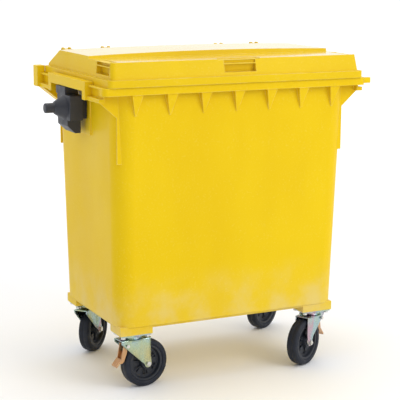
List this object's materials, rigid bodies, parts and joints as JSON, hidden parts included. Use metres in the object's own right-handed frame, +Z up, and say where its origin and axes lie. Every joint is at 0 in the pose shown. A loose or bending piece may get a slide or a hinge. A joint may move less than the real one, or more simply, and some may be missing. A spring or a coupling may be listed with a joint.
{
  "type": "wheelie bin",
  "caption": "Tapered waste container with a flat hinged lid, lifting trunnions at its sides and swivelling castors, the front ones with foot brakes.",
  "frame": {"origin": "on the floor under the centre of the overall box", "axes": "+X to the container's right, across its longer side; +Y to the hinge side; +Z up"},
  "size_m": [1.374, 0.778, 1.35],
  "materials": {
    "body_plastic": "satin moulded polyethylene",
    "lid_plastic": "satin moulded polyethylene",
    "black_plastic": "fine grained black moulding",
    "castor_steel": "yellow chromated zinc",
    "bolt_steel": "zinc plated",
    "rod_steel": "bright steel",
    "tyre_rubber": "smooth solid rubber",
    "rim_plastic": "dark moulded nylon"
  },
  "bodies": {
    "container": {"tub": "body_plastic", "hinge_rod_left": "rod_steel", "hinge_rod_right": "rod_steel", "trunnion_bracket_left": "black_plastic", "trunnion_bracket_right": "black_plastic", "trunnion_screws_left": "bolt_steel", "trunnion_screws_right": "bolt_steel", "castor_plate_front_left": "castor_steel", "castor_bolts_front_left": "bolt_steel", "ball_race_front_left": "castor_steel", "kingpin_front_left": "bolt_steel", "castor_plate_front_right": "castor_steel", "castor_bolts_front_right": "bolt_steel", "ball_race_front_right": "castor_steel", "kingpin_front_right": "bolt_steel", "castor_plate_rear_left": "castor_steel", "castor_bolts_rear_left": "bolt_steel", "ball_race_rear_left": "castor_steel", "kingpin_rear_left": "bolt_steel", "castor_plate_rear_right": "castor_steel", "castor_bolts_rear_right": "bolt_steel", "ball_race_rear_right": "castor_steel", "kingpin_rear_right": "bolt_steel"},
    "lid": {"lid": "lid_plastic"},
    "swivel_front_left": {"fork_front_left": "castor_steel", "axle_bolt_front_left": "bolt_steel", "pedal_pin_front_left": "bolt_steel"},
    "wheel_front_left": {"tyre_front_left": "tyre_rubber", "rim_front_left": "rim_plastic", "wheel_bearing_front_left": "rod_steel"},
    "pedal_front_left": {"brake_pedal_front_left": "castor_steel", "brake_shoe_front_left": "castor_steel"},
    "swivel_front_right": {"fork_front_right": "castor_steel", "axle_bolt_front_right": "bolt_steel", "pedal_pin_front_right": "bolt_steel"},
    "wheel_front_right": {"tyre_front_right": "tyre_rubber", "rim_front_right": "rim_plastic", "wheel_bearing_front_right": "rod_steel"},
    "pedal_front_right": {"brake_pedal_front_right": "castor_steel", "brake_shoe_front_right": "castor_steel"},
    "swivel_rear_left": {"fork_rear_left": "castor_steel", "axle_bolt_rear_left": "bolt_steel"},
    "wheel_rear_left": {"tyre_rear_left": "tyre_rubber", "rim_rear_left": "rim_plastic", "wheel_bearing_rear_left": "rod_steel"},
    "swivel_rear_right": {"fork_rear_right": "castor_steel", "axle_bolt_rear_right": "bolt_steel"},
    "wheel_rear_right": {"tyre_rear_right": "tyre_rubber", "rim_rear_right": "rim_plastic", "wheel_bearing_rear_right": "rod_steel"}
  },
  "joints": [
    {"name": "lid_hinge", "type": "hinge", "parent": "container", "child": "lid", "pos_m": [0, 0.373, 1.318], "axis": [-1, 0, 0], "range_deg": [0, 255]},
    {"name": "swivel_turn_front_left", "type": "hinge", "parent": "container", "child": "swivel_front_left", "pos_m": [-0.42, -0.25, 0.235], "axis": [0, 0, 1], "continuous": true},
    {"name": "wheel_spin_front_left", "type": "hinge", "parent": "swivel_front_left", "child": "wheel_front_left", "pos_m": [-0.36356, -0.24207, 0.1], "axis": [-0.1392, 0.9903, 0], "continuous": true},
    {"name": "brake_press_front_left", "type": "hinge", "parent": "swivel_front_left", "child": "pedal_front_left", "pos_m": [-0.45763, -0.25529, 0.188], "axis": [0.1392, -0.9903, 0], "range_deg": [0, 3]},
    {"name": "swivel_turn_front_right", "type": "hinge", "parent": "container", "child": "swivel_front_right", "pos_m": [0.42, -0.25, 0.235], "axis": [0, 0, 1], "continuous": true},
    {"name": "wheel_spin_front_right", "type": "hinge", "parent": "swivel_front_right", "child": "wheel_front_right", "pos_m": [0.36967, -0.27676, 0.1], "axis": [0.4695, -0.8829, 0], "continuous": true},
    {"name": "brake_press_front_right", "type": "hinge", "parent": "swivel_front_right", "child": "pedal_front_right", "pos_m": [0.45355, -0.23216, 0.188], "axis": [-0.4695, 0.8829, 0], "range_deg": [0, 3]},
    {"name": "swivel_turn_rear_left", "type": "hinge", "parent": "container", "child": "swivel_rear_left", "pos_m": [-0.42, 0.25, 0.235], "axis": [0, 0, 1], "continuous": true},
    {"name": "wheel_spin_rear_left", "type": "hinge", "parent": "swivel_rear_left", "child": "wheel_rear_left", "pos_m": [-0.37764, 0.28814, 0.1], "axis": [-0.6691, 0.7431, 0], "continuous": true},
    {"name": "swivel_turn_rear_right", "type": "hinge", "parent": "container", "child": "swivel_rear_right", "pos_m": [0.42, 0.25, 0.235], "axis": [0, 0, 1], "continuous": true},
    {"name": "wheel_spin_rear_right", "type": "hinge", "parent": "swivel_rear_right", "child": "wheel_rear_right", "pos_m": [0.47079, 0.27588, 0.1], "axis": [-0.454, 0.891, 0], "continuous": true}
  ]
}
